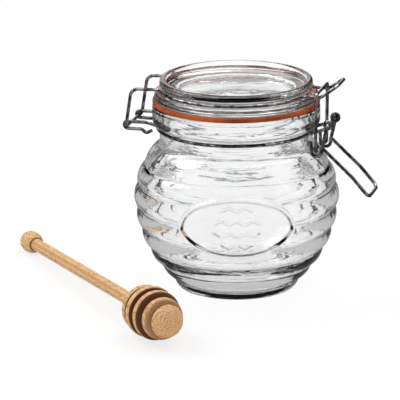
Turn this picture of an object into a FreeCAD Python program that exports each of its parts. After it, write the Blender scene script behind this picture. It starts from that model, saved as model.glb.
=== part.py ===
"""Clip-top honey jar of clear glass, its wire closure and a wooden dipper, as a parametric document."""
import FreeCAD, Part
import math
import os

import Sketcher
from FreeCAD import Placement, Rotation, Vector

# The driving sizes in millimetres and degrees: alias, value, what it is.
SIZES = [
    ("wire_d", 1.8, "diameter of every closure wire"),
    ("fit_gap", 0.06, "radial clearance of a wire turning in an eye"),
    ("rest_gap", 0.1, "gap between a wire and the glass it lies on"),
    ("jar_x", 27.2, "place of the jar's axis from the middle of the set"),
    ("jar_y", 32.6, "place of the jar's axis from the middle of the set"),
    # jar
    ("body_r", 51.3, "radius at the grooves on the waist"),
    ("waist_z", 49.0, "height of the waist"),
    ("belly_low", 56.4, "half height of the lower belly curve"),
    ("belly_high", 42.0, "half height of the upper belly curve"),
    ("low_first", 6.7, "angle of the first groove under the waist"),
    ("low_step", 11.1, "angle between the grooves under the waist"),
    ("high_first", 7.1, "angle of the first groove above the waist"),
    ("high_step", 14.3, "angle between the grooves above the waist"),
    ("coil_round", 10.5, "radius of a coil's bulge"),
    ("shoulder_share", 18 / 11.8, "shoulder radius for each millimetre the body is wider than the neck"),
    ("shoulder_round", "= shoulder_share * (body_r - neck_r)", "radius of the shoulder's bulge"),
    ("foot_r", 30.5, "outer radius of the ring the jar stands on"),
    ("foot_round", 5.0, "radius of the foot's outer edge"),
    ("punt_r", 27.0, "radius of the hollow under the base"),
    ("punt_depth", 1.8, "depth of the hollow under the base"),
    ("neck_r", 39.5, "radius of the neck"),
    ("neck_z", 75.0, "height where the neck starts"),
    ("neck_round", 2.5, "radius where the shoulder turns into the neck"),
    ("finish_out", 3.7, "how far the band stands out from the neck"),
    ("finish_r", "= neck_r + finish_out", "radius of the band under the rim"),
    ("finish_h", 11.0, "height of the band under the rim"),
    ("finish_z", "= rim_z - finish_h", "height of the band's underside"),
    ("rim_z", 97.0, "height of the rim"),
    ("rim_round", 1.6, "rounding of the rim"),
    ("neck_wall", 3.0, "thickness of the neck"),
    ("mouth_r", "= neck_r - neck_wall", "radius of the mouth"),
    ("throat_step", 1.0, "how far the throat is narrower than the mouth"),
    ("throat_r", "= mouth_r - throat_step", "radius of the throat"),
    ("throat_z", 75.5, "height where the throat starts"),
    ("body_wall", 3.4, "thickness of the wall in the grooves"),
    ("cavity_r", "= body_r - body_wall", "inside radius at the waist"),
    ("floor_r", 25.0, "radius of the flat floor inside"),
    ("floor_z", 6.0, "height of the floor inside"),
    # plaque
    ("plaque_turn", 15.0, "turn of the plaque from the front towards the closure"),
    ("plaque_w", 57.0, "width of the plaque"),
    ("plaque_h", 32.0, "height of the plaque"),
    ("plaque_z", 44.5, "height of its middle"),
    ("plaque_rim", 1.8, "width of its rim"),
    ("plaque_lift", 1.9, "height of its field over the grooves"),
    ("rim_lift", 2.9, "height of its rim over the grooves"),
    ("comb_r", 4.6, "corner radius of a honeycomb cell"),
    ("comb_wall", 1.1, "width of the ridge between two cells"),
    # seal and lid
    ("seal_t", 3.0, "thickness of the seal"),
    ("seal_inset", 0.1, "how far the seal's edge is inside the band"),
    ("seal_r", "= finish_r - seal_inset", "outer radius of the seal"),
    ("seal_round", 0.8, "rounding of the seal's outer edges"),
    ("plug_gap", 1.5, "radial clearance of the plug in the mouth"),
    ("plug_r", "= mouth_r - plug_gap", "radius of the lid's plug"),
    ("plug_depth", 4.0, "depth of the plug under the flange"),
    ("plug_wall", 5.0, "width of the plug's ring"),
    ("lid_floor", 1.4, "height of the lid's underside under the flange's"),
    ("seal_proud", 1.1, "how far the seal stands out past the flange"),
    ("flange_r", "= seal_r - seal_proud", "radius of the lid's flange"),
    ("flange_t", 3.6, "thickness of the flange"),
    ("flange_round", 1.2, "rounding of the flange's edges"),
    ("flange_step", 2.6, "how far the flange stands out past the top rim"),
    ("lid_rim_r", "= flange_r - flange_step", "radius of the lid's top rim"),
    ("lid_rim_t", "= lid_h - flange_t - wire_d - 2 * rest_gap", "height of the top rim over the wire groove"),
    ("lid_h", 10.0, "height of the lid over the seal"),
    ("lid_rim_w", 3.4, "width of the top rim"),
    ("dish_r", "= lid_rim_r - lid_rim_w", "radius of the dish in the lid"),
    ("dish_slope", 12.0, "width of the dish's slope"),
    ("dish_flat", "= dish_r - dish_slope", "radius of the dish's flat middle"),
    ("dish_depth", 5.0, "depth of the dish"),
    # closure
    ("hinge_out", 11.8, "distance of the hinge from the band"),
    ("hinge_x", "= finish_r + hinge_out", "distance of the hinge from the axis"),
    ("hinge_drop", 0.3, "height of the neck wire over the hinge"),
    ("hinge_z", "= neck_wire_z - hinge_drop", "height of the hinge"),
    ("bracket_wide", 3.5, "distance of a bracket leg outside its hairpin"),
    ("bracket_y", "= hairpin_y + bracket_wide", "half width of the lid wire's bracket"),
    ("bracket_in", 2.4, "how far the bracket's corner leans in from the hinge"),
    ("bracket_x", "= hinge_x - bracket_in", "distance of the bracket's top corner"),
    ("bracket_drop", 3.2, "height of the lid wire over the bracket's corner"),
    ("bracket_z", "= lid_wire_z - bracket_drop", "height of the bracket's top corner"),
    ("bracket_run", 1.6, "how far the bracket runs level past the flange"),
    ("bracket_bend", 2.0, "bend radius of the bracket"),
    ("hairpin_y", 11.0, "half distance of the hinge hairpins"),
    ("hairpin_tail", 9.4, "length of the hairpin's lower leg"),
    ("hairpin_tail_x", "= hinge_x - hairpin_tail", "distance of the hairpin's lower bend"),
    ("hairpin_drop", 3.8, "drop of the hairpin's lower bend"),
    ("hairpin_tail_z", "= hinge_z - hairpin_drop", "height of the hairpin's lower bend"),
    ("lid_wire_z", "= rim_z + seal_t + (flange_t + lid_h - lid_rim_t) / 2", "height of the lid wire"),
    ("neck_wire_gap", 0.6, "gap between the neck wire and the band"),
    ("neck_wire_z", "= finish_z - wire_d / 2 - neck_wire_gap", "height of the neck wire"),
    ("tongue_gap", 0.5, "gap between the tongue and the link beside it"),
    ("tongue_y", "= link_y - wire_d - tongue_gap", "half width of the tongue"),
    ("tongue_out", 4.6, "distance from the flange to where the tongue turns up"),
    ("tongue_bend_x", "= flange_r + tongue_out", "distance where the tongue turns up"),
    ("tongue_l", 8.6, "reach of the tongue's tip"),
    ("tongue_tip_x", "= tongue_bend_x + tongue_l", "distance of the tongue's tip"),
    ("tongue_h", 6.2, "rise of the tongue's tip"),
    ("tongue_tip_z", "= lid_wire_z + tongue_h", "height of the tongue's tip"),
    ("link_in", 1.4, "how far the link's top bar lies inside the tongue's turn"),
    ("link_x", "= tongue_bend_x - link_in", "distance of the link's top bar"),
    ("link_gap", 0.3, "gap between the link and the tongue"),
    ("link_z", "= lid_wire_z + wire_d + link_gap", "height of the link's top bar"),
    ("side_gap", 0.4, "gap between the lever and the link beside it"),
    ("link_y", "= arm_y + wire_d + side_gap", "half width of the link"),
    ("link_bend", 1.3, "bend radius of the link"),
    ("foot_gap", 0.7, "gap between the link's feet and the band"),
    ("foot_x", "= finish_r + wire_d / 2 + foot_gap", "distance of the link's feet"),
    ("foot_drop", 14.0, "height of the pivot over the link's feet"),
    ("foot_z", "= pivot_z - foot_drop", "height of the link's feet"),
    ("foot_end_y", "= arm_y - wire_d / 2 + rest_gap", "half distance between the ends of the feet"),
    ("pivot_out", 7.2, "distance of the lever's pivot from the band"),
    ("pivot_x", "= finish_r + pivot_out", "distance of the lever's pivot"),
    ("pivot_rise", 4.0, "height of the lever's pivot over the band's underside"),
    ("pivot_z", "= finish_z + pivot_rise", "height of the lever's pivot"),
    ("eye_y", 8.0, "half distance of the eyes on the neck wire"),
    ("arm_gap", 0.3, "gap between an eye and an arm of the lever"),
    ("arm_y", "= eye_y + wire_d + arm_gap", "half width of the lever"),
    ("pin_end_y", "= eye_y - wire_d", "half distance between the pins' ends"),
    ("hook_r", 2.6, "radius of the lever's hooks"),
    ("hook_drop", 2.3, "height of the feet over the bottom of the hooks"),
    ("hook_h", 7.6, "height of a hook's open arm"),
    ("handle_drop", 11.6, "height of the pivot over where the handle leaves the arm"),
    ("handle_z", "= pivot_z - handle_drop", "height where the handle leaves the arm"),
    ("handle_mid_out", 13.2, "reach of the handle's slight bend"),
    ("handle_mid_x", "= pivot_x + handle_mid_out", "distance of the handle's slight bend"),
    ("handle_mid_drop", 26.2, "drop of the handle's slight bend"),
    ("handle_mid_z", "= pivot_z - handle_mid_drop", "height of the handle's slight bend"),
    ("handle_out", 21.8, "reach of the handle's end bar"),
    ("handle_end_x", "= pivot_x + handle_out", "distance of the handle's end bar"),
    ("handle_l", 36.0, "drop of the handle's end bar"),
    ("handle_end_z", "= pivot_z - handle_l", "height of the handle's end bar"),
    ("handle_bend", 3.5, "bend radius of the handle's corners"),
    # dipper
    ("dipper_x", -121.6, "place of the dipper's knob from the jar's axis"),
    ("dipper_y", 23.6, "place of the dipper's knob from the jar's axis"),
    ("dipper_turn", -49.2, "heading of the dipper"),
    ("knob_r", 5.65, "radius of the knob"),
    ("knob_back", 4.8, "length of the knob behind its middle"),
    ("knob_mid", 2.2, "where the knob starts to taper"),
    ("knob_front", 8.4, "length of the knob before its middle"),
    ("stick_r", 3.3, "radius of the stick"),
    ("head_start", 143.0, "where the head starts, from the knob's middle"),
    ("ridge_first", 148.2, "where the first ridge starts"),
    ("ridge_step", 7.3, "distance from ridge to ridge"),
    ("ridge_w", 4.2, "width of a ridge"),
    ("ridge_a", 11.9, "radius of the first ridge"),
    ("ridge_b", 13.1, "radius of the second ridge"),
    ("ridge_c", 12.6, "radius of the third ridge"),
    ("ridge_d", 10.85, "radius of the fourth ridge"),
    ("cap_r", 8.5, "radius of the end cap"),
    ("cap_l", 6.6, "length of the end cap"),
    ("core_r", 6.2, "radius between the ridges"),
]

doc = FreeCAD.newDocument("honey_jar")
sheet = doc.addObject("Spreadsheet::Sheet", "Sizes")
for row, (alias, value, note) in enumerate(SIZES, start=1):
    sheet.set(f"A{row}", alias)
    sheet.setAlias(f"B{row}", alias)
    sheet.set(f"C{row}", note)
for row, (alias, value, note) in enumerate(SIZES, start=1):
    sheet.set(f"B{row}", str(value))
doc.recompute()


def size(alias):
    """The value of one named size."""
    return float(sheet.get(alias))


def named(expression):
    """The expression with each named size written as a reference to the sheet."""
    words, word = [], ""
    for letter in expression + " ":
        if letter.isalnum() or letter == "_":
            word += letter
            continue
        words.append(f"Sizes.{word}" if word in ALIASES else word)
        words.append(letter)
        word = ""
    return "".join(words).strip()


ALIASES = {alias for alias, _, _ in SIZES}


def bind(obj, **expressions):
    """Bind properties of an object, with __ for a dot in the property's path."""
    for path, expression in expressions.items():
        obj.setExpression(path.replace("__", "."), named(expression))


def arc_between(start, end, radius):
    """The arc from start to end, bulging right for a positive radius, and whether it runs backwards."""
    chord = end - start
    half = chord.Length / 2
    reach = math.sqrt(max(radius * radius - half * half, 0.0))
    left = Vector(-chord.y, chord.x, 0).normalize()
    side = 1 if radius > 0 else -1
    centre = (start + end) * 0.5 + left * reach * side
    ends = (start, end) if side > 0 else (end, start)
    angles = [math.atan2(p.y - centre.y, p.x - centre.x) for p in ends]
    if angles[1] < angles[0]:
        angles[1] += 2 * math.pi
    circle = Part.Circle(centre, Vector(0, 0, 1), abs(radius))
    return Part.ArcOfCircle(circle, *angles), side < 0


def draw_section(sketch, corners):
    """Draw a closed half-section whose corners are (r, z) or (r, z, radius of the arc to the next corner)."""
    points = []
    for corner in corners:
        x, y = (float(sketch.evalExpression(named(e))) for e in corner[:2])
        points.append(Vector(x, y, 0))
    ends = []
    for i, corner in enumerate(corners):
        start, end = points[i], points[(i + 1) % len(points)]
        if len(corner) == 3:
            radius = float(sketch.evalExpression(named(corner[2])))
            edge, backwards = arc_between(start, end, radius)
        else:
            edge, backwards = Part.LineSegment(start, end), False
        sketch.addGeometry(edge, False)
        ends.append((2, 1) if backwards else (1, 2))
    for i, corner in enumerate(corners):
        following = (i + 1) % len(corners)
        sketch.addConstraint(Sketcher.Constraint("Coincident", i, ends[i][1], following, ends[following][0]))
    for i, corner in enumerate(corners):
        for kind, value, axis in (("DistanceX", points[i].x, -2), ("DistanceY", points[i].y, -1)):
            if abs(value) < 1e-9:
                sketch.addConstraint(Sketcher.Constraint("PointOnObject", i, ends[i][0], axis))
                continue
            number = sketch.addConstraint(Sketcher.Constraint(kind, -1, 1, i, ends[i][0], value))
            sketch.setExpression(f"Constraints[{number}]", named(corner[0 if kind == "DistanceX" else 1]))
        if len(corner) == 3:
            radius = abs(float(sketch.evalExpression(named(corner[2]))))
            number = sketch.addConstraint(Sketcher.Constraint("Radius", i, radius))
            sketch.setExpression(f"Constraints[{number}]", f"abs({named(corner[2])})")


def section_sketch(body, name, corners):
    """A sketch of a half-section on the body's own XZ plane."""
    sketch = body.newObject("Sketcher::SketchObject", name)
    plane = next(f for f in body.Origin.OriginFeatures if f.Role == "XZ_Plane")
    sketch.AttachmentSupport = (plane, [""])
    sketch.MapMode = "FlatFace"
    draw_section(sketch, corners)
    doc.recompute()
    return sketch


def turned(label, corners, hollow=None):
    """A body turned from one half-section, with a second one cut out of it."""
    body = doc.addObject("PartDesign::Body", label)
    for kind, suffix, section in (("Revolution", "turn", corners), ("Groove", "hollow", hollow)):
        if section is None:
            continue
        sketch = section_sketch(body, f"{label}_{suffix}_section", section)
        feature = body.newObject(f"PartDesign::{kind}", f"{label}_{suffix}")
        feature.Profile = sketch
        feature.ReferenceAxis = (sketch, ["V_Axis"])
        feature.Angle = 360
        sketch.Visibility = False
        doc.recompute()
    return body


def belly(angle, low, lift="0"):
    """A corner on the belly curve, at an angle under (low) or above the waist."""
    half, sign = ("belly_low", "-") if low else ("belly_high", "+")
    out = f"(body_r + {lift}) * cos(({angle}) * 1 deg)"
    up = f"waist_z {sign} ({half} + {lift}) * sin(({angle}) * 1 deg)"
    return out, up


# ---------------------------------------------------------------- glass jar
LOW_GROOVES = [f"low_first + {k} * low_step" for k in (4, 3, 2, 1, 0)]
HIGH_GROOVES = [f"high_first + {k} * high_step" for k in (0, 1)]

outside = [
    ("0", "punt_depth"),
    ("punt_r - 2 * punt_depth", "punt_depth"),
    ("punt_r", "0.3"),
    ("punt_r + 1", "0"),
    ("foot_r", "0", "foot_round"),
]
outside += [(*belly(angle, True), "coil_round") for angle in LOW_GROOVES]
outside += [
    (*belly(HIGH_GROOVES[0], False), "coil_round"),
    (*belly(HIGH_GROOVES[1], False), "shoulder_round"),
]
outside += [
    ("neck_r + neck_round * 0.6", "neck_z", "-neck_round * 2"),
    ("neck_r", "neck_z + neck_round * 1.2"),
    ("neck_r", "finish_z"),
    ("finish_r - rim_round / 2", "finish_z + 0.6", "rim_round"),
    ("finish_r", "finish_z + 2"),
    ("finish_r", "rim_z - rim_round", "rim_round"),
    ("finish_r - rim_round", "rim_z"),
    ("0", "rim_z"),
]
hollow = [
    ("0", "floor_z"),
    ("floor_r", "floor_z",
     "((cavity_r - floor_r)^2 + (waist_z - floor_z)^2) / (2 * (cavity_r - floor_r))"),
    ("cavity_r", "waist_z",
     "((cavity_r - throat_r)^2 + (throat_z - waist_z)^2) / (2 * (cavity_r - throat_r))"),
    ("throat_r", "throat_z"),
    ("throat_r", "finish_z"),
    ("mouth_r", "finish_z + 2"),
    ("mouth_r", "rim_z - rim_round", "-rim_round"),
    ("mouth_r + rim_round", "rim_z"),
    ("mouth_r + rim_round", "rim_z + 5"),
    ("0", "rim_z + 5"),
]
jar_blank = turned("jar_blank", outside, hollow)

turn = math.radians(size("plaque_turn"))
plaque_out = Vector(math.sin(turn), -math.cos(turn), 0)
plaque_along = Vector(math.cos(turn), math.sin(turn), 0)
facing = Rotation(plaque_along, Vector(0, 0, 1), plaque_out, "XYZ")


def shell(label, lift):
    """A turned shell over the waist, a named height above the grooves."""
    steps = [(30, True), (15, True), (0, True), (12, False), (24, False)]
    inner = "body_r - 1.5"
    section = [(f"({inner}) * 0.8", belly("30", True, lift)[1])]
    section += [(*belly(str(a), low, lift), "belly_low") for a, low in steps[:-1]]
    section += [belly("24", False, lift), (f"({inner}) * 0.8", belly("24", False, lift)[1])]
    section += [(f"({inner}) * 0.97", "waist_z")]
    return turned(label, section)


def prism(label, outline):
    """An outline on the plaque's middle, drawn out towards its front."""
    outline.Placement = Placement(plaque_out * size("body_r") * 0.6 + Vector(0, 0, size("plaque_z")), facing)
    solid = doc.addObject("Part::Extrusion", label)
    solid.Base, solid.DirMode, solid.Solid = outline, "Custom", True
    solid.Dir = plaque_out
    bind(solid, LengthFwd="body_r")
    return solid


def oval(label, inset):
    """An oval prism as wide and high as the plaque, less an inset."""
    outline = doc.addObject("Part::Ellipse", f"{label}_outline")
    bind(outline, MajorRadius=f"plaque_w / 2 - {inset}", MinorRadius=f"plaque_h / 2 - {inset}")
    doc.recompute()
    return prism(label, outline)


def cells(label, inset):
    """Seven honeycomb cells as prisms, each corner radius less an inset."""
    pitch = size("comb_r") * math.sqrt(3)
    found = []
    for i in range(7):
        angle = math.radians(60 * i)
        away = 0.0 if i == 6 else pitch
        cell = doc.addObject("Part::Prism", f"{label}_{i + 1}")
        cell.Polygon = 6
        bind(cell, Circumradius=f"comb_r - {inset}", Height="body_r")
        offset = plaque_along * (away * math.cos(angle)) + Vector(0, 0, away * math.sin(angle))
        middle = plaque_out * size("body_r") * 0.6 + Vector(0, 0, size("plaque_z")) + offset
        cell.Placement = Placement(middle, facing.multiply(Rotation(Vector(0, 0, 1), 30)))
        found.append(cell)
    fused = doc.addObject("Part::MultiFuse", label)
    fused.Shapes = found
    return fused


def boolean(kind, label, base, tool):
    """A boolean of two objects."""
    result = doc.addObject(f"Part::{kind}", label)
    result.Base, result.Tool = base, tool
    return result


oval_whole = oval("oval_whole", "0")
oval_inner = oval("oval_inner", "plaque_rim")
oval_ring = boolean("Cut", "oval_ring", oval_whole, oval_inner)
comb = boolean("Cut", "comb", cells("cells_outer", "-comb_wall / 2"), cells("cells_inner", "comb_wall / 2"))
field = boolean("Common", "plaque_field", shell("field_shell", "plaque_lift"), oval_whole)
border = boolean("Common", "plaque_border", shell("border_shell", "rim_lift"), oval_ring)
relief = boolean("Common", "plaque_relief", shell("relief_shell", "(plaque_lift + rim_lift) / 2"), comb)
doc.recompute()
glass_jar = doc.addObject("Part::MultiFuse", "glass_jar")
glass_jar.Shapes = [jar_blank, field, border, relief]

# ---------------------------------------------------------------- seal and lid
rubber_seal = turned("rubber_seal", [
    ("plug_r + rest_gap", "rim_z"),
    ("seal_r - seal_round", "rim_z", "seal_round"),
    ("seal_r", "rim_z + seal_round"),
    ("seal_r", "rim_z + seal_t - seal_round", "seal_round"),
    ("seal_r - seal_round", "rim_z + seal_t"),
    ("plug_r + rest_gap", "rim_z + seal_t"),
])

SEAT = "rim_z + seal_t"
GROOVE_R = "lid_rim_r - 0.4 - wire_d / 2 - rest_gap"
glass_lid = turned("glass_lid", [
    ("0", f"{SEAT} - lid_floor"),
    ("plug_r - plug_wall", f"{SEAT} - lid_floor"),
    ("plug_r - plug_wall + 1.5", f"{SEAT} - plug_depth"),
    ("plug_r - 1.3", f"{SEAT} - plug_depth"),
    ("plug_r", f"{SEAT} - plug_depth + 1.3"),
    ("plug_r", SEAT),
    ("flange_r - flange_round", SEAT, "flange_round"),
    ("flange_r", f"{SEAT} + flange_round"),
    ("flange_r", f"{SEAT} + flange_t - flange_round", "flange_round"),
    ("flange_r - flange_round", f"{SEAT} + flange_t"),
    (GROOVE_R, f"{SEAT} + flange_t"),
    (GROOVE_R, f"{SEAT} + lid_h - lid_rim_t"),
    ("lid_rim_r - 0.5", f"{SEAT} + lid_h - lid_rim_t + 0.6", "0.8"),
    ("lid_rim_r", f"{SEAT} + lid_h - lid_rim_t + 1.3"),
    ("lid_rim_r", f"{SEAT} + lid_h - 1.8", "1.8"),
    ("lid_rim_r - 1.8", f"{SEAT} + lid_h", "1.6"),
    ("dish_r", f"{SEAT} + lid_h - 1.2", "-dish_depth * 4"),
    ("dish_flat", f"{SEAT} + lid_h - dish_depth"),
    ("0", f"{SEAT} + lid_h - dish_depth - 0.6"),
])


# ---------------------------------------------------------------- wires
def spine(label, runs, bends):
    """A bent centre line: corner points with a bend radius each, and arcs given by three points."""
    edges = []
    at = runs[0]
    for i, step in enumerate(runs[1:], start=1):
        if isinstance(step, tuple):
            through, end = step
            edges.append(Part.Arc(at, through, end).toShape())
            at = end
            continue
        radius = bends.get(i, 0.0)
        if not radius:
            edges.append(Part.LineSegment(at, step).toShape())
            at = step
            continue
        following = runs[i + 1]
        inward, outward = (step - at).normalize(), (following - step).normalize()
        half = inward.getAngle(outward) / 2
        reach = radius * math.tan(half)
        first, last = step - inward * reach, step + outward * reach
        middle = step + (outward - inward).normalize() * (radius / math.cos(half) - radius)
        edges.append(Part.LineSegment(at, first).toShape())
        edges.append(Part.Arc(first, middle, last).toShape())
        at = last
    line = doc.addObject("Part::Feature", f"{label}_spine")
    line.Shape = Part.Wire(edges)
    return line


def tube(label, runs, bends=None):
    """A round wire swept along a bent centre line."""
    line = spine(label, runs, bends or {})
    first = line.Shape.Edges[0]
    section = doc.addObject("Part::Circle", f"{label}_section")
    bind(section, Radius="wire_d / 2")
    tangent = first.tangentAt(first.FirstParameter)
    section.Placement = Placement(runs[0], Rotation(Vector(0, 0, 1), tangent))
    sweep = doc.addObject("Part::Sweep", label)
    sweep.Sections = [section]
    sweep.Spine = (line, [f"Edge{n + 1}" for n in range(len(line.Shape.Edges))])
    sweep.Solid = True
    return sweep


def fused(label, shapes):
    """Several pieces of wire as one."""
    result = doc.addObject("Part::MultiFuse", label)
    result.Shapes = shapes
    result.Refine = True
    return result


def ring_point(radius, angle, height):
    """A point on a level ring."""
    angle = math.radians(angle)
    return Vector(radius * math.cos(angle), radius * math.sin(angle), height)


HOOK_RISE = size("hook_r") * 1.3
half_wire = size("wire_d") / 2
eye_r = size("wire_d") + size("fit_gap")
neck_ring_r = size("neck_r") + half_wire + size("rest_gap")
lid_ring_r = size("lid_rim_r") - 0.4
hinge = Vector(-size("hinge_x"), 0, size("hinge_z"))
pivot = Vector(size("pivot_x"), 0, size("pivot_z"))

ring = doc.addObject("Part::Torus", "neck_ring")
bind(ring, Radius1="neck_r + wire_d / 2 + rest_gap", Radius2="wire_d / 2", Placement__Base__z="neck_wire_z")
neck_parts = [ring]
lid_parts, lever_parts = [], []
for side, name in ((1, "far"), (-1, "near")):
    def at(x, y, z, side=side):
        """A point on this side of the closure."""
        return Vector(x, side * y, z)

    # neck wire: a hairpin round the hinge bar, a leg and an eye for the lever's pin
    y, z = size("hairpin_y"), size("neck_wire_z")
    start = math.sqrt(neck_ring_r**2 - y**2)
    pin = tube(f"hairpin_{name}", [
        at(-start, y, z),
        at(-start - 6, y, hinge.z + eye_r),
        at(hinge.x, y, hinge.z + eye_r),
        (at(hinge.x - eye_r, y, hinge.z), at(hinge.x, y, hinge.z - eye_r)),
        at(-size("hairpin_tail_x") - 2, y, hinge.z - eye_r),
        at(-size("hairpin_tail_x") + 0.5, y, size("hairpin_tail_z")),
        at(-size("hairpin_tail_x") + 3.5, y, size("hairpin_tail_z") + 1.6),
    ], {1: 6.0, 4: 2.0, 5: 1.6})
    y = size("eye_y")
    start = math.sqrt(neck_ring_r**2 - y**2)
    leg = tube(f"eye_leg_{name}", [at(start, y, z), at(pivot.x - 0.2, y, pivot.z - eye_r)])
    eye = doc.addObject("Part::Torus", f"eye_{name}")
    bind(eye, Radius1="wire_d + fit_gap", Radius2="wire_d / 2")
    eye.Placement = Placement(at(pivot.x, y, pivot.z), Rotation(Vector(1, 0, 0), 90))
    neck_parts += [pin, leg, eye]

    # lid wire: half of the hinge bar, a bracket leg, half of the ring and half of the tongue
    y, z = size("bracket_y"), size("lid_wire_z")
    back, front = ring_point(lid_ring_r, 148, z), ring_point(lid_ring_r, 26, z)
    reach_back = (back.y - y) / math.cos(math.radians(180 - 148))
    reach_front = (front.y - size("tongue_y")) / math.cos(math.radians(26))
    lid_parts.append(tube(f"lid_wire_{name}", [
        at(hinge.x, 0, hinge.z),
        at(hinge.x, y, hinge.z),
        at(-size("bracket_x"), y, size("bracket_z")),
        at(-math.sqrt(size("flange_r") ** 2 - y**2) - size("bracket_run"), y, z),
        at(back.x - reach_back * math.sin(math.radians(32)), y, z),
        at(back.x, back.y, z),
        (at(0, lid_ring_r, z), at(front.x, front.y, z)),
        at(front.x + reach_front * math.sin(math.radians(26)), size("tongue_y"), z),
        at(size("tongue_bend_x"), size("tongue_y"), z),
        at(size("tongue_tip_x"), size("tongue_y"), size("tongue_tip_z")),
        at(size("tongue_tip_x"), 0, size("tongue_tip_z")),
    ], {1: size("bracket_bend"), 2: size("bracket_bend"), 3: 3.0, 4: 2.5, 7: 3.0, 8: 3.0, 9: 5.0}))

    # lever: a pin in the eye, the arm and its hook
    y, bottom = size("arm_y"), size("foot_z") - size("hook_drop")
    right, left = size("foot_x") + size("hook_r"), size("foot_x") - size("hook_r")
    lever_parts.append(tube(f"arm_{name}", [
        at(pivot.x, size("pin_end_y"), pivot.z),
        at(pivot.x, y, pivot.z),
        at(right, y, bottom + HOOK_RISE),
        at(right, y, bottom),
        at(left, y, bottom),
        at(left - 0.3, y, bottom + size("hook_h")),
    ], {1: 1.15, 2: 4.0, 3: 2.5, 4: 2.5}))

neck_wire = fused("neck_wire", neck_parts)
lid_wire = fused("lid_wire", lid_parts)

MILD_BEND = 20.0
y = size("arm_y")
elbow = Vector(size("foot_x") + size("hook_r"), 0, size("foot_z") - size("hook_drop") + HOOK_RISE)
leave = elbow + (pivot - elbow) * ((size("handle_z") - elbow.z) / (pivot.z - elbow.z))
handle_line = [(leave.x, leave.z), (size("handle_mid_x"), size("handle_mid_z")),
               (size("handle_end_x"), size("handle_end_z"))]
handle_bends = {1: MILD_BEND, 2: size("handle_bend"), 3: size("handle_bend"), 4: MILD_BEND}
one_side = [Vector(x, -y, z) for x, z in handle_line]
other_side = [Vector(x, y, z) for x, z in handle_line[::-1]]
handle = tube("handle", one_side + other_side, handle_bends)
clip_lever = fused("clip_lever", lever_parts + [handle])

y, bend = size("link_y"), size("link_bend")
top, foot = (size("link_x"), size("link_z")), (size("foot_x"), size("foot_z"))
clip_link = tube("clip_link", [
    Vector(foot[0], -size("foot_end_y"), foot[1]), Vector(foot[0], -y, foot[1]), Vector(top[0], -y, top[1]),
    Vector(top[0], y, top[1]), Vector(foot[0], y, foot[1]), Vector(foot[0], size("foot_end_y"), foot[1]),
], {1: bend, 2: bend, 3: bend, 4: bend})

# ---------------------------------------------------------------- dipper
def ball(r0, z0, r1, z1):
    """The radius of the ball, centred on the axis, that passes through two corners."""
    rise = f"({z1} - ({z0}))"
    return f"sqrt(({r0})^2 + (({rise}^2 + ({r1})^2 - ({r0})^2) / (2 * {rise}))^2)"


section = [
    ("0", "-knob_back"),
    ("knob_r * 0.45", "-knob_back", ball("knob_r * 0.45", "-knob_back", "knob_r", "0.4")),
    ("knob_r", "0.4"),
    ("knob_r", "knob_mid", "4"),
    ("knob_r - 0.24", "knob_mid + 1.37"),
    ("stick_r + 0.6", "knob_front", "-1.2"),
    ("stick_r", "knob_front + 1.2"),
    ("stick_r", "head_start - 1.0", "-1.4"),
    ("stick_r + 1.2", "head_start", ball("stick_r + 1.2", "head_start", "ridge_a - 0.56", "ridge_first")),
    ("ridge_a - 0.56", "ridge_first", "ridge_w"),
]
ridges = ("ridge_a", "ridge_b", "ridge_c", "ridge_d")
for k, name in enumerate(ridges):
    begin = f"ridge_first + {k} * ridge_step"
    if k:
        section += [("core_r", begin), (f"{name} - 0.56", begin, "ridge_w")]
    section += [(f"{name} - {0.9 if k == 3 else 0.56}", f"{begin} + ridge_w")]
    section += [("core_r", f"{begin} + ridge_w")]
begin = "ridge_first + 4 * ridge_step"
section += [("core_r", begin), ("cap_r", begin, ball("cap_r", "0", "0", "cap_l")), ("0", f"{begin} + cap_l")]
honey_dipper = turned("honey_dipper", section)
widest = size("ridge_first") + size("ridge_step") + size("ridge_w") / 2
rise = math.atan2(size("ridge_b") - size("knob_r"), widest)
heading = math.radians(size("dipper_turn"))
along = Vector(math.cos(rise) * math.cos(heading), math.cos(rise) * math.sin(heading), math.sin(rise))
knob_height = size("knob_r") * math.cos(rise)
honey_dipper.Placement = Placement(Vector(0, 0, knob_height), Rotation(Vector(0, 0, 1), along))
bind(honey_dipper, Placement__Base__x="jar_x + dipper_x", Placement__Base__y="jar_y + dipper_y")

NODES = [glass_jar, neck_wire, honey_dipper, glass_lid, rubber_seal, lid_wire, clip_link, clip_lever]
doc.recompute()
for node in NODES:
    if node is not honey_dipper:
        bind(node, Placement__Base__x="jar_x", Placement__Base__y="jar_y")
doc.recompute()
for obj in doc.Objects:
    if "Invalid" in obj.State or "Error" in obj.State:
        raise RuntimeError(f"{obj.Name} did not build: {obj.State}")
for node in NODES:
    shape = node.Shape
    if shape.isNull() or not shape.isValid() or len(shape.Solids) != 1:
        raise RuntimeError(f"{node.Label} is not one valid solid: {len(shape.Solids)}")
os.makedirs("parts", exist_ok=True)
for node in NODES:
    node.Shape.exportStep(f"parts/{node.Label}.step")
    box = node.Shape.BoundBox
    print(node.Label, "volume", round(node.Shape.Volume, 1), "box",
          [round(v, 2) for v in (box.XMin, box.YMin, box.ZMin, box.XMax, box.YMax, box.ZMax)])
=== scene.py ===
"""Clip-top honey jar of clear glass with its wire closure and a wooden dipper, dressed for rendering."""
import logging
import math
from collections.abc import Callable
from dataclasses import dataclass, field
from enum import Enum

import bpy
from mathutils import Matrix, Quaternion, Vector


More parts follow.
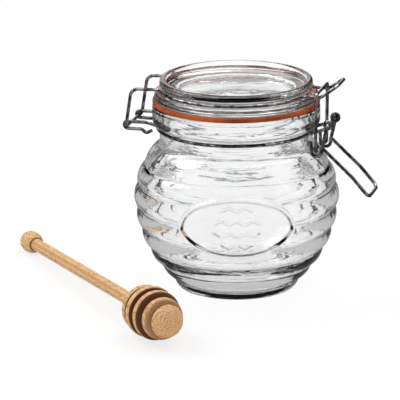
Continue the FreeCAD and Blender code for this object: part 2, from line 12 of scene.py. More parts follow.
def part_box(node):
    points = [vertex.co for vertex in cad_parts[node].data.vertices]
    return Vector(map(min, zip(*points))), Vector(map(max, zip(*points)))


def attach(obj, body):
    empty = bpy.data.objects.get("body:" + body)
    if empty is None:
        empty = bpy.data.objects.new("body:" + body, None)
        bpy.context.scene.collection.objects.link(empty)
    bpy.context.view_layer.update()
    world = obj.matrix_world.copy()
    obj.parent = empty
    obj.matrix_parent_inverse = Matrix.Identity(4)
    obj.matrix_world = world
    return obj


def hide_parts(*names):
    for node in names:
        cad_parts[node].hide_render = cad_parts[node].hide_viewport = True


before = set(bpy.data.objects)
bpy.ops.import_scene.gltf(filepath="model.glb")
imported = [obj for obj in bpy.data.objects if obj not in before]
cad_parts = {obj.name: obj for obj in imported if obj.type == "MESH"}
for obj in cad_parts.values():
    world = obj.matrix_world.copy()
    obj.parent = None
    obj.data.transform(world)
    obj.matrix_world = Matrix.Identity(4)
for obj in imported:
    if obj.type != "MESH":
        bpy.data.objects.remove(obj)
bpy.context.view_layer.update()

MM = 0.001
SMOOTH_ANGLE = math.radians(50)
LOG = logging.getLogger("honey_jar")

Point = tuple[float, float]
Span = tuple[float, float]
Triple = tuple[float, float, float]
Colour = tuple[float, float, float]
Stop = tuple[float, Colour]


def jar_axis() -> Vector:
    """The point on the floor under the jar's axis, in metres."""
    low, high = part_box("rubber_seal")
    return Vector(((low.x + high.x) / 2, (low.y + high.y) / 2, 0.0))


def grey(value: float, cool: float = 0.0) -> Colour:
    """A grey, with a little more blue where it is cool."""
    return (value, value, value + cool)


def opaque(colour: Colour) -> tuple[float, float, float, float]:
    """A colour with full alpha, as a socket takes it."""
    return (*colour, 1.0)


# ------------------------------------------------------------------ profiles
class Profile:
    """A line drawn in a half-plane, as (radius, height) points in millimetres.

    Attributes:
        fine: how far apart the points are on which corners are rounded.
        shortest_end: a last run shorter than this is joined to the one before it.
    """

    fine = 0.1
    shortest_end = 0.15

    def __init__(self, radius: float, height: float) -> None:
        """Starts the line at one point."""
        self.points: list[Point] = [(radius, height)]

    def to(self, radius: float, height: float) -> "Profile":
        """Adds a straight run to a point and returns the profile."""
        self.points.append((radius, height))
        return self

    def through(self, *points: Point) -> "Profile":
        """Adds straight runs through points and returns the profile."""
        self.points.extend(points)
        return self

    def curve(self, radius: float, height: float, bend: float, count: int = 12) -> "Profile":
        """Adds an arc to a point.

        Args:
            radius: the arc's end, from the axis.
            height: the arc's end, over the floor.
            bend: the arc's own radius, positive where it swells to the right of the way it runs.
            count: how many runs the arc is drawn with.

        Returns:
            The profile itself.
        """
        start, end = Vector(self.points[-1]), Vector((radius, height))
        chord = end - start
        left = Vector((-chord.y, chord.x)).normalized()
        reach = math.sqrt(max(bend * bend - chord.length_squared / 4, 0.0))
        centre = (start + end) / 2 + left * reach * math.copysign(1.0, bend)
        first = math.atan2(start.y - centre.y, start.x - centre.x)
        last = math.atan2(end.y - centre.y, end.x - centre.x)
        turn = (last - first + math.pi) % (2 * math.pi) - math.pi
        size = abs(bend)
        for step in range(1, count + 1):
            angle = first + turn * step / count
            self.points.append((centre.x + size * math.cos(angle), centre.y + size * math.sin(angle)))
        return self

    def softened(self, reach: float, spacing: Callable[[float, float], float]) -> list[Point]:
        """The line with its corners rounded, drawn again at the spacing asked for.

        Args:
            reach: how far along the line a corner is spread, in millimetres.
            spacing: gives the distance to the next point from a radius and a height.

        Returns:
            The new points, with the first and last one where they were.
        """
        dense: list[Vector] = []
        for (r0, z0), (r1, z1) in zip(self.points, self.points[1:]):
            run = Vector((r1 - r0, z1 - z0))
            count = max(1, round(run.length / self.fine))
            dense += [Vector((r0, z0)) + run * (k / count) for k in range(count)]
        dense.append(Vector(self.points[-1]))
        window = max(1, round(reach / self.fine / 2))
        smooth: list[Vector] = []
        for i in range(len(dense)):
            near = min(window, i, len(dense) - 1 - i)
            part = dense[i - near:i + near + 1]
            smooth.append(sum(part, Vector((0.0, 0.0))) / len(part))
        chosen, gone = [smooth[0]], 0.0
        for before, after in zip(smooth, smooth[1:]):
            gone += (after - before).length
            if gone >= spacing(after.x, after.y):
                chosen.append(after)
                gone = 0.0
        if (chosen[-1] - smooth[-1]).length < self.shortest_end and len(chosen) > 2:
            chosen.pop()
        chosen.append(smooth[-1])
        return [(max(p.x, 0.0), p.y) for p in chosen]


def draw_line(name: str, places: list[Vector]) -> bpy.types.Object:
    """Draws a line of points as a new mesh, which is left in edit mode with all of it selected.

    Args:
        name: the new piece's name.
        places: the points, in metres.

    Returns:
        The piece, with its object at the origin.
    """
    bpy.ops.object.select_all(action="DESELECT")
    bpy.ops.mesh.primitive_plane_add(size=10 * MM, location=(0, 0, 0))
    piece = bpy.context.object
    piece.name = piece.data.name = name
    bpy.ops.object.mode_set(mode="EDIT")
    bpy.ops.mesh.select_all(action="SELECT")
    bpy.ops.mesh.merge(type="CENTER")
    bpy.ops.transform.translate(value=places[0])
    for before, after in zip(places, places[1:]):
        bpy.ops.mesh.extrude_vertices_move(TRANSFORM_OT_translate={"value": after - before})
    bpy.ops.mesh.select_all(action="SELECT")
    return piece


class Lathe:
    """Turns profiles into closed pieces with the edit-mode tools."""

    merge_gap = 0.02 * MM

    @staticmethod
    def turn(
        name: str, profile: list[Point], centre: Vector, sectors: list[tuple[float, int]],
    ) -> bpy.types.Object:
        """Turns a profile round an upright axis, clockwise seen from above.

        Args:
            name: the new piece's name.
            profile: the points, in millimetres from the centre.
            centre: a point on the axis, in metres.
            sectors: each sector's angle in degrees and its number of steps; the angles add up to 360.

        Returns:
            The piece, with its object at the origin.
        """
        piece = draw_line(name, [centre + Vector((r * MM, 0.0, z * MM)) for r, z in profile])
        for angle, steps in sectors:
            bpy.ops.mesh.spin(steps=steps, angle=math.radians(angle), center=centre, axis=(0, 0, 1))
        bpy.ops.mesh.select_all(action="SELECT")
        bpy.ops.mesh.remove_doubles(threshold=Lathe.merge_gap)
        bpy.ops.mesh.normals_make_consistent(inside=False)
        bpy.ops.object.mode_set(mode="OBJECT")
        bpy.ops.object.shade_smooth_by_angle(angle=SMOOTH_ANGLE)
        piece.select_set(False)
        return piece


class WireBender:
    """Bends closed loops of round wire."""

    merge_gap = 0.01 * MM
    bend_steps = 8
    roundness = 4

    @classmethod
    def bent(cls, corners: list[tuple[Vector, float]]) -> list[Vector]:
        """The loop's line with its corners bent.

        Args:
            corners: each corner's place and the radius of its bend, 0 for a point that isn't bent.

        Returns:
            The points, the first one again at the end.
        """
        line: list[Vector] = []
        for k, (place, bend) in enumerate(corners):
            come = (place - corners[k - 1][0]).normalized()
            leave = (corners[(k + 1) % len(corners)][0] - place).normalized()
            turn = come.angle(leave)
            if not bend:
                line.append(place)
                continue
            start = place - come * bend * math.tan(turn / 2)
            centre = place + (leave - come).normalized() * bend / math.cos(turn / 2)
            for n in range(cls.bend_steps + 1):
                swing = Quaternion(come.cross(leave).normalized(), turn * n / cls.bend_steps)
                line.append(centre + swing @ (start - centre))
        return line + line[:1]

    @classmethod
    def draw(cls, name: str, line: list[Vector], thick: float) -> bpy.types.Object:
        """Draws the wire along a closed line.

        Args:
            name: the new piece's name.
            line: the points in metres, the first one again at the end.
            thick: the wire's diameter in metres.

        Returns:
            The piece, with its object at the origin.
        """
        draw_line(name, line)
        bpy.ops.mesh.remove_doubles(threshold=cls.merge_gap)
        bpy.ops.object.mode_set(mode="OBJECT")
        bpy.ops.object.convert(target="CURVE")
        curve = bpy.context.object.data
        curve.bevel_depth = thick / 2
        curve.bevel_resolution = cls.roundness
        bpy.ops.object.convert(target="MESH")
        piece = bpy.context.object
        bpy.ops.object.shade_smooth()
        piece.name = piece.data.name = name
        piece.select_set(False)
        return piece


# ------------------------------------------------------------------ finishes
class Nodes:
    """A material's node tree, built one node at a time."""

    def __init__(self, tree: bpy.types.NodeTree) -> None:
        """Empties the tree."""
        self.tree = tree
        tree.nodes.clear()

    def add(self, kind: str, inputs: dict | None = None, **settings: object) -> bpy.types.Node:
        """Adds a node.

        Args:
            kind: the node's type name without its ShaderNode prefix.
            inputs: a value or an output socket for each named or numbered input.
            settings: the node's own properties.

        Returns:
            The node.
        """
        node = self.tree.nodes.new(f"ShaderNode{kind}")
        for key, value in settings.items():
            setattr(node, key, value)
        for key, value in (inputs or {}).items():
            if isinstance(value, bpy.types.NodeSocket):
                self.tree.links.new(value, node.inputs[key])
            else:
                node.inputs[key].default_value = value
        return node

    def sum(self, operation: str, *values: object) -> bpy.types.NodeSocket:
        """The output of a Math node on up to three values or sockets."""
        return self.add("Math", dict(enumerate(values)), operation=operation).outputs[0]

    def unit(self, value: bpy.types.NodeSocket) -> bpy.types.NodeSocket:
        """A value between -1 and 1, moved to between 0 and 1."""
        return self.sum("MULTIPLY_ADD", value, 0.5, 0.5)

    def wave(self, angle: bpy.types.NodeSocket, count: int, turn: float) -> bpy.types.NodeSocket:
        """A wave from 0 to 1 with a number of crests round a circle, one of them at a turn in degrees."""
        phase = self.sum("MULTIPLY_ADD", angle, float(count), math.radians(-count * turn))
        return self.unit(self.sum("COSINE", phase))

    def ramp(self, value: bpy.types.NodeSocket, stops: tuple[Stop, ...]) -> bpy.types.NodeSocket:
        """The colour that a ramp gives a value.

        Args:
            value: the value, from 0 to 1.
            stops: each stop's place and colour, two or more.

        Returns:
            The colour.
        """
        node = self.add("ValToRGB", {0: value})
        for place, _ in stops[2:]:
            node.color_ramp.elements.new(place)
        for element, (place, colour) in zip(node.color_ramp.elements, sorted(stops)):
            element.position = place
            element.color = opaque(colour)
        return node.outputs["Color"]

    def blend(
        self, value: bpy.types.NodeSocket, span: Span, low: Colour, high: Colour,
    ) -> bpy.types.NodeSocket:
        """The colour between two colours as a value crosses a span."""
        return self.ramp(value, ((span[0], low), (span[1], high)))

    def mix(self, share: object, first: object, second: object, blend: str = "MIX") -> bpy.types.NodeSocket:
        """The colour between two colours."""
        return self.add("MixRGB", {0: share, 1: first, 2: second}, blend_type=blend).outputs[0]

    def noise(self, where: bpy.types.NodeSocket, scale: float, detail: float = 2.0) -> bpy.types.NodeSocket:
        """A noise value at the places given."""
        return self.add("TexNoise", {"Vector": where, "Scale": scale, "Detail": detail}).outputs[0]

    def bump(self, height: bpy.types.NodeSocket, strength: float, depth: float) -> bpy.types.NodeSocket:
        """The normal of a surface with a height on it, whose depth is in metres."""
        return self.add("Bump", {"Height": height, "Strength": strength, "Distance": depth}).outputs[0]

    @classmethod
    def for_material(cls, name: str) -> tuple[bpy.types.Material, "Nodes"]:
        """Makes a new material.

        Args:
            name: its name.

        Returns:
            The material and its empty node tree.
        """
        material = bpy.data.materials.new(name)
        material.use_nodes = True
        return material, cls(material.node_tree)


@dataclass(frozen=True)
class GlassFinish:
    """Clear pressed glass with faint waves and level streaks in its surface."""

    name: str
    tint: Colour = (0.985, 0.99, 0.988)
    shadow: Colour = (0.93, 0.94, 0.94)
    refraction: float = 1.5
    wave_scale: float = 90.0
    streak_scale: Triple = (24.0, 24.0, 330.0)
    streak_share: float = 0.9
    bump: float = 0.5
    depth: float = 0.4 * MM

    def make(self) -> bpy.types.Material:
        """Builds the material.

        Returns:
            The material.
        """
        material, nodes = Nodes.for_material(self.name)
        where = nodes.add("TexCoord").outputs["Object"]
        level = nodes.add("Mapping", {"Vector": where, "Scale": self.streak_scale}).outputs[0]
        streaks = nodes.noise(level, 1.0, detail=3.0)
        height = nodes.sum("MULTIPLY_ADD", streaks, self.streak_share, nodes.noise(where, self.wave_scale))
        glass = nodes.add("BsdfPrincipled", {
            "Base Color": opaque(self.tint), "Roughness": 0.0, "IOR": self.refraction,
            "Transmission Weight": 1.0, "Normal": nodes.bump(height, self.bump, self.depth),
        })
        clear = nodes.add("BsdfTransparent", {0: opaque(self.shadow)})
        path = nodes.add("LightPath").outputs["Is Shadow Ray"]
        both = nodes.add("MixShader", {0: path, 1: glass.outputs[0], 2: clear.outputs[0]})
        nodes.add("OutputMaterial", {0: both.outputs[0]})
        return material


@dataclass(frozen=True)
class RubberFinish:
    """Moulded orange rubber with a dull, faintly mottled skin."""

    name: str = "seal_rubber"
    light: Colour = (0.50, 0.095, 0.006)
    dark: Colour = (0.21, 0.028, 0.002)
    mottle_scale: float = 60.0
    mottle_span: Span = (0.36, 0.62)
    pore_scale: float = 900.0
    bump: float = 0.2
    depth: float = 0.3 * MM
    smoothest: float = 0.4
    unevenness: float = 0.2
    gloss: float = 0.25

    def make(self) -> bpy.types.Material:
        """Builds the material.

        Returns:
            The material.
        """
        material, nodes = Nodes.for_material(self.name)
        where = nodes.add("TexCoord").outputs["Object"]
        mottle = nodes.noise(where, self.mottle_scale, detail=5.0)
        rubber = nodes.add("BsdfPrincipled", {
            "Base Color": nodes.blend(mottle, self.mottle_span, self.dark, self.light),
            "Roughness": nodes.sum("MULTIPLY_ADD", mottle, self.unevenness, self.smoothest),
            "Specular IOR Level": self.gloss,
            "Normal": nodes.bump(nodes.noise(where, self.pore_scale), self.bump, self.depth),
        })
        nodes.add("OutputMaterial", {0: rubber.outputs[0]})
        return material


@dataclass(frozen=True)
class WireFinish:
    """Drawn steel wire, bright with dark draw marks."""

    name: str = "steel_wire"
    light: Colour = (0.50, 0.50, 0.51)
    dark: Colour = (0.09, 0.09, 0.10)
    mark_scale: float = 320.0
    mark_span: Span = (0.42, 0.60)
    bump: float = 0.08
    depth: float = 0.2 * MM
    smoothest: float = 0.03
    unevenness: float = 0.12

    def make(self) -> bpy.types.Material:
        """Builds the material.

        Returns:
            The material.
        """
        material, nodes = Nodes.for_material(self.name)
        where = nodes.add("TexCoord").outputs["Object"]
        marks = nodes.noise(where, self.mark_scale, detail=4.0)
        steel = nodes.add("BsdfPrincipled", {
            "Base Color": nodes.blend(marks, self.mark_span, self.dark, self.light),
            "Roughness": nodes.sum("MULTIPLY_ADD", marks, self.unevenness, self.smoothest),
            "Metallic": 1.0,
            "Normal": nodes.bump(marks, self.bump, self.depth),
        })
        nodes.add("OutputMaterial", {0: steel.outputs[0]})
        return material


@dataclass(frozen=True)
class WoodFinish:
    """Turned beech with growth rings and flecks, with painted shade in its grooves and creases; its heart in
    millimetres.
    """

    name: str = "turned_beech"
    pale: Colour = (0.84, 0.52, 0.225)
    warm: Colour = (0.48, 0.23, 0.085)
    rosy: Colour = (0.78, 0.45, 0.22)
    fleck: Colour = (0.30, 0.115, 0.038)
    # the painted shade laid in the dipper's grooves and creases
    painted_shade_colour: Colour = (0.17, 0.062, 0.018)
    heart: Point = (-1.8, -0.2)
    ring_squash: float = 1.35
    ring_density: float = 4.2
    ring_wobble: float = 3.0
    wobble_scale: float = 0.12
    ring_sharpness: float = 2.5
    ring_share: float = 0.6
    patch_scale: float = 0.16
    patch_span: Span = (0.40, 0.62)
    fibre_scale: Triple = (1.3, 1.3, 0.32)
    fleck_scale: float = 1.2
    fleck_span: Span = (0.56, 0.64)
    fleck_share: float = 0.75
    pore_scale: float = 3.0
    bump: float = 0.25
    depth: float = 0.2 * MM
    roughness: float = 0.55

    def rings(self, nodes: Nodes, grain: bpy.types.NodeSocket) -> bpy.types.NodeSocket:
        """How dark the growth rings are.

        Args:
            nodes: the material's nodes.
            grain: the place in the wood, with the dipper's length along z.

        Returns:
            The darkness, from 0 between two rings to 1 on one.
        """
        across = nodes.add("SeparateXYZ", {0: grain}).outputs
        off_x = nodes.sum("SUBTRACT", across[0], self.heart[0])
        off_y = nodes.sum("MULTIPLY_ADD", across[1], self.ring_squash, -self.heart[1])
        squares = nodes.sum("ADD", nodes.sum("POWER", off_x, 2.0), nodes.sum("POWER", off_y, 2.0))
        turns = nodes.sum("MULTIPLY", nodes.sum("POWER", squares, 0.5), self.ring_density)
        turns = nodes.sum("MULTIPLY_ADD", nodes.noise(grain, self.wobble_scale), self.ring_wobble, turns)
        return nodes.sum("POWER", nodes.unit(nodes.sum("SINE", turns)), self.ring_sharpness)

    def make(self) -> bpy.types.Material:
        """Builds the material.

        Returns:
            The material.
        """
        material, nodes = Nodes.for_material(self.name)
        grain = nodes.add("Attribute", attribute_name="grain").outputs["Vector"]
        # painted shade in the dipper's grooves and creases, read from its points
        painted_shade = nodes.add("Attribute", attribute_name="painted_shade").outputs["Fac"]
        patches = nodes.noise(grain, self.patch_scale, detail=3.0)
        colour = nodes.blend(patches, self.patch_span, self.pale, self.rosy)
        ringed = nodes.sum("MULTIPLY", self.rings(nodes, grain), self.ring_share)
        colour = nodes.mix(ringed, colour, opaque(self.warm))
        fibres = nodes.add("Mapping", {"Vector": grain, "Scale": self.fibre_scale}).outputs[0]
        flecks = nodes.noise(fibres, self.fleck_scale, detail=3.0)
        flecks = nodes.blend(flecks, self.fleck_span, grey(0.0), grey(1.0))
        flecked = nodes.sum("MULTIPLY", flecks, self.fleck_share)
        colour = nodes.mix(flecked, colour, opaque(self.fleck))
        # the grooves and creases are darkened with painted shade
        wood = nodes.add("BsdfPrincipled", {
            "Base Color": nodes.mix(painted_shade, colour, opaque(self.painted_shade_colour)),
            "Roughness": self.roughness,
            "Normal": nodes.bump(nodes.noise(fibres, self.pore_scale), self.bump, self.depth),
        })
        nodes.add("OutputMaterial", {0: wood.outputs[0]})
        return material


# ------------------------------------------------------------------ jar
@dataclass
class Plaque:
    """The raised oval with a honeycomb on the jar's front; sizes in millimetres, angles in degrees."""

    turn: float = 15.0
    fine_half_turn: float = 39.0
    width: float = 57.0
    height: float = 32.0
    middle: float = 44.5
    fine_half_height: float = 18.0
    rim: float = 1.8
    flank_out: float = 0.6
    flank_in: float = 0.5
    cell: float = 4.6
    ridge_top: float = 0.1
    ridge_foot: float = 0.8
    field_lift: float = 1.9
    rim_lift: float = 3.3
    comb_lift: float = 3.2

    def inside(self, along: float, up: float) -> float:
        """How far a point is inside the oval's edge.

        Args:
            along: the point's distance from the plaque's middle, sideways.
            up: its height over the plaque's middle.

        Returns:
            The distance, negative outside the oval.
        """
        a, b = self.width / 2, self.height / 2
        level = math.hypot(along / a, up / b)
        if level < 1e-6:
            return b
        slope = math.hypot(along / a**2, up / b**2) / level
        return (1 - level) / slope

    def ridge(self, along: float, up: float) -> float:
        """How far a point is from the nearest wall of the seven cells.

        Args:
            along: the point's distance from the plaque's middle, sideways.
            up: its height over the plaque's middle.

        Returns:
            The distance.
        """
        apothem = self.cell * math.sqrt(3) / 2
        pitch = 2 * apothem
        centres = [(0.0, 0.0)]
        for turn in range(0, 360, 60):
            centres.append((pitch * math.cos(math.radians(turn)), pitch * math.sin(math.radians(turn))))
        best = math.inf
        for x, y in centres:
            across = max(
                abs((along - x) * math.cos(math.radians(a)) + (up - y) * math.sin(math.radians(a)))
                for a in (0, 60, 120))
            best = min(best, abs(across - apothem))
        return best

    @staticmethod
    def step(value: float, low: float, high: float) -> float:
        """A smooth step from 0 at low to 1 at high."""
        share = min(max((value - low) / (high - low), 0.0), 1.0)
        return share * share * (3 - 2 * share)

    def relief(self, along: float, up: float) -> tuple[float, float]:
        """The relief at a point.

        Args:
            along: the point's distance from the plaque's middle, sideways.
            up: its height over the plaque's middle.

        Returns:
            How far the relief counts there, from 0 outside the oval to 1, and its lift over the grooves.
        """
        edge = self.inside(along, up)
        rise = self.step(edge, -self.flank_out, self.flank_in)
        if not rise:
            return 0.0, self.field_lift
        crest = rise * (1 - self.step(edge, self.rim - self.flank_out, self.rim + self.flank_in))
        comb = 1 - self.step(self.ridge(along, up), self.ridge_top, self.ridge_foot)
        lift = self.field_lift
        lift += (self.rim_lift - self.field_lift) * crest
        lift += (self.comb_lift - self.field_lift) * comb
        return rise, lift


@dataclass
class GlassJar:
    """The coiled glass jar; sizes in millimetres, angles in degrees."""

    axis: Vector
    base: tuple[Point, ...] = ((23.4, 1.8), (27.0, 0.3), (28.0, 0.0), (30.5, 0.0))
    foot_bend: float = 5.0
    body_r: float = 51.3
    waist: float = 49.0
    belly_low: float = 56.4
    belly_high: float = 42.0
    low_grooves: tuple[float, ...] = (51.1, 40.0, 28.9, 17.8, 6.7)
    high_grooves: tuple[float, ...] = (7.1, 21.4)
    coil: float = 9.2
    shoulder: float = 18.0
    shoulder_top: Point = (41.0, 75.0)
    neck: float = 39.5
    neck_low: float = 78.0
    neck_bend: float = 5.0
    band: float = 43.2
    band_low: float = 86.0
    lip: float = 1.2
    lip_low: float = 86.3
    lip_high: float = 87.8
    rim: float = 97.0
    rim_edge: float = 1.6
    floor: Point = (25.0, 6.0)
    inner_waist: float = 47.9
    throat: Point = (35.5, 75.5)
    throat_top: float = 86.0
    mouth: float = 36.5
    mouth_low: float = 88.0
    outer_softness: float = 0.4
    inner_softness: float = 7.0
    base_flat: float = 22.0
    floor_flat: float = 18.0
    mouth_from: float = 84.0
    coarse: float = 3.5
    medium: float = 1.9
    plain: float = 0.9
    close: float = 0.42
    wall_margin: float = 0.8
    plaque: Plaque = field(default_factory=Plaque)
    plaque_steps: int = 156
    back_steps: int = 140

    def belly(self, angle: float, low: bool) -> Point:
        """A point in a groove on the belly's curve, at an angle from the waist."""
        half = -self.belly_low if low else self.belly_high
        return self.body_r * math.cos(math.radians(angle)), self.waist + half * math.sin(math.radians(angle))

    def belly_radius(self, height: float, lift: float = 0.0) -> float:
        """The radius of the belly's curve through the grooves.

        Args:
            height: the height over the floor.
            lift: how far outside the curve.

        Returns:
            The radius, 0 above and below the curve.
        """
        half = self.belly_low if height < self.waist else self.belly_high
        share = (height - self.waist) / (half + lift)
        return (self.body_r + lift) * math.sqrt(max(1 - share**2, 0.0))

    def outside(self) -> list[Point]:
        """The outer profile.

        Returns:
            The points from the middle of the base up to the rim.
        """
        line = Profile(0.0, self.base[0][1]).through(*self.base)
        line.curve(*self.belly(self.low_grooves[0], True), self.foot_bend)
        for angle in self.low_grooves[1:]:
            line.curve(*self.belly(angle, True), self.coil)
        for angle in self.high_grooves:
            line.curve(*self.belly(angle, False), self.coil)
        line.curve(*self.shoulder_top, self.shoulder)
        line.curve(self.neck, self.neck_low, -self.neck_bend).to(self.neck, self.band_low)
        line.to(self.band - self.lip, self.lip_low).to(self.band, self.lip_high)
        line.to(self.band, self.rim - self.rim_edge)
        line.curve(self.band - self.rim_edge, self.rim, self.rim_edge, count=6)
        return line.softened(self.outer_softness, self.outer_spacing)

    def inside(self) -> list[Point]:
        """The inner profile.

        Returns:
            The points from the rim down to the middle of the floor.
        """
        waist = (self.inner_waist, self.waist)
        line = Profile(0.0, self.floor[1]).to(*self.floor)
        line.curve(*waist, self.swell(self.floor, waist), count=24)
        line.curve(*self.throat, self.swell(waist, self.throat), count=24)
        line.to(self.throat[0], self.throat_top).to(self.mouth, self.mouth_low)
        line.to(self.mouth, self.rim - self.rim_edge)
        line.curve(self.mouth + self.rim_edge, self.rim, -self.rim_edge, count=6)
        return line.softened(self.inner_softness, self.inner_spacing)[::-1]

    @staticmethod
    def swell(low: Point, high: Point) -> float:
        """The radius of an arc between two points that is upright at the wider one."""
        wide, rise = abs(high[0] - low[0]), abs(high[1] - low[1])
        return (wide * wide + rise * rise) / (2 * wide)

    def outer_spacing(self, radius: float, height: float) -> float:
        """How far apart the outer profile's points are, from a radius and a height.

        Args:
            radius: the distance from the axis.
            height: the height over the floor.

        Returns:
            The distance, close at the plaque's height and coarse under the base.
        """
        if radius < self.base_flat:
            return self.coarse
        beside_plaque = abs(height - self.plaque.middle) < self.plaque.fine_half_height
        return self.close if beside_plaque else self.plain

    def inner_spacing(self, radius: float, height: float) -> float:
        """How far apart the inner profile's points are, from a radius and a height.

        Args:
            radius: the distance from the axis.
            height: the height over the floor.

        Returns:
            The distance, coarse on the jar's floor and plain at its mouth.
        """
        if radius < self.floor_flat:
            return self.coarse
        return self.medium if height < self.mouth_from else self.plain

    def raise_plaque(self, piece: bpy.types.Object) -> None:
        """Moves the outer wall's points out to the plaque's relief.

        Args:
            piece: the turned jar.
        """
        turn = math.radians(self.plaque.turn)
        out = Vector((math.sin(turn), -math.cos(turn), 0.0))
        sideways = Vector((math.cos(turn), math.sin(turn), 0.0))
        for vertex in piece.data.vertices:
            place = (vertex.co - self.axis) / MM
            radius = math.hypot(place.x, place.y)
            if place.dot(out) < 0 or radius < self.belly_radius(place.z) - self.wall_margin:
                continue
            rise, lift = self.plaque.relief(place.dot(sideways), place.z - self.plaque.middle)
            if not rise:
                continue
            raised = radius + (self.belly_radius(place.z, lift) - radius) * rise
            scale = max(raised, radius) / radius
            vertex.co.x = self.axis.x + (vertex.co.x - self.axis.x) * scale
            vertex.co.y = self.axis.y + (vertex.co.y - self.axis.y) * scale
        piece.data.update()

    def build(self, finish: bpy.types.Material) -> bpy.types.Object:
        """Builds and dresses the jar, with its fine sector turned to the plaque.

        Args:
            finish: the glass.

        Returns:
            The piece.
        """
        reach = self.plaque.fine_half_turn
        start = self.plaque.turn - 90.0 + reach
        sectors = [(2 * reach, self.plaque_steps), (360 - 2 * reach, self.back_steps)]
        piece = Lathe.turn("jar_glass_wall", self.outside() + self.inside(), Vector((0, 0, 0)), sectors)
        piece.data.transform(Matrix.Translation(self.axis) @ Matrix.Rotation(math.radians(start), 4, "Z"))
        self.raise_plaque(piece)
        piece.data.materials.append(finish)
        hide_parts("glass_jar")
        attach(piece, "jar")
        return piece


@dataclass
class GlassLid:
    """The glass lid with its dish, plug and wire groove; sizes in millimetres."""

    axis: Vector
    plug: tuple[Point, ...] = ((30.0, 98.6), (31.5, 96.0), (33.7, 96.0), (35.0, 97.3))
    seat: float = 99.2
    flange: float = 42.0
    flange_edge: float = 1.2
    flange_low: float = 101.2
    flange_high: float = 102.4
    flange_top: float = 103.6
    groove: float = 37.98
    groove_top: float = 105.6
    rim: float = 39.4
    rim_slope: float = 0.5
    rim_low: Span = (106.2, 106.9)
    rim_high: float = 108.2
    rim_edge: float = 1.8
    top: float = 110.0
    dish_edge: Point = (36.0, 108.8)
    dish_edge_bend: float = 1.6
    dish: Point = (24.0, 105.0)
    dish_bend: float = 20.0
    dish_middle: float = 104.4
    softness: float = 0.5
    flat: float = 22.0
    coarse: float = 2.5
    close: float = 0.55
    steps: int = 192

    def outline(self) -> list[Point]:
        """The profile, from the middle of the underside round to the middle of the dish.

        Returns:
            The points.
        """
        line = Profile(0.0, self.plug[0][1]).through(*self.plug)
        line.to(self.plug[-1][0], self.seat).to(self.flange - self.flange_edge, self.seat)
        line.curve(self.flange, self.flange_low, self.flange_edge, count=5).to(self.flange, self.flange_high)
        line.curve(self.flange - self.flange_edge, self.flange_top, self.flange_edge, count=5)
        line.to(self.groove, self.flange_top).to(self.groove, self.groove_top)
        line.to(self.rim - self.rim_slope, self.rim_low[0]).to(self.rim, self.rim_low[1])
        line.to(self.rim, self.rim_high).curve(self.rim - self.rim_edge, self.top, self.rim_edge, count=6)
        line.curve(*self.dish_edge, self.dish_edge_bend, count=5).curve(*self.dish, -self.dish_bend)
        line.to(0.0, self.dish_middle)
        return line.softened(self.softness, lambda r, z: self.coarse if r < self.flat else self.close)

    def build(self, finish: bpy.types.Material) -> bpy.types.Object:
        """Builds and dresses the lid.

        Args:
            finish: the glass.

        Returns:
            The piece.
        """
        piece = Lathe.turn("lid_glass", self.outline(), self.axis, [(360.0, self.steps)])
        piece.data.materials.append(finish)
        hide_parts("glass_lid")
        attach(piece, "lid")
        return piece


@dataclass
class RubberSeal:
    """The flat rubber ring between the jar and its lid; sizes in millimetres."""

    axis: Vector
    low: float = 97.0
    high: float = 99.15
    inner: float = 38.6
    outer: float = 43.1
    edge: float = 0.7
    softness: float = 0.3
    spacing: float = 0.35
    steps: int = 160

    def build(self, finish: bpy.types.Material) -> bpy.types.Object:
        """Builds and dresses the seal.

        Args:
            finish: the rubber.

        Returns:
            The piece.
        """
        line = Profile(self.inner, self.low).to(self.outer - self.edge, self.low)
        line.curve(self.outer, self.low + self.edge, self.edge, count=5).to(self.outer, self.high - self.edge)
        line.curve(self.outer - self.edge, self.high, self.edge, count=5)
        line.to(self.inner, self.high).to(self.inner, self.low)
        outline = line.softened(self.softness, lambda r, z: self.spacing)
        piece = Lathe.turn("rubber_ring", outline, self.axis, [(360.0, self.steps)])
        piece.data.materials.append(finish)
        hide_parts("rubber_seal")
        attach(piece, "lid")
        return piece


# ------------------------------------------------------------------ dipper
@dataclass(frozen=True)
class ShadeLine:
    """A line of painted shade round the stick, in a crease; sizes in millimetres."""

    place: float
    half_width: float
    under: float
    strength: float


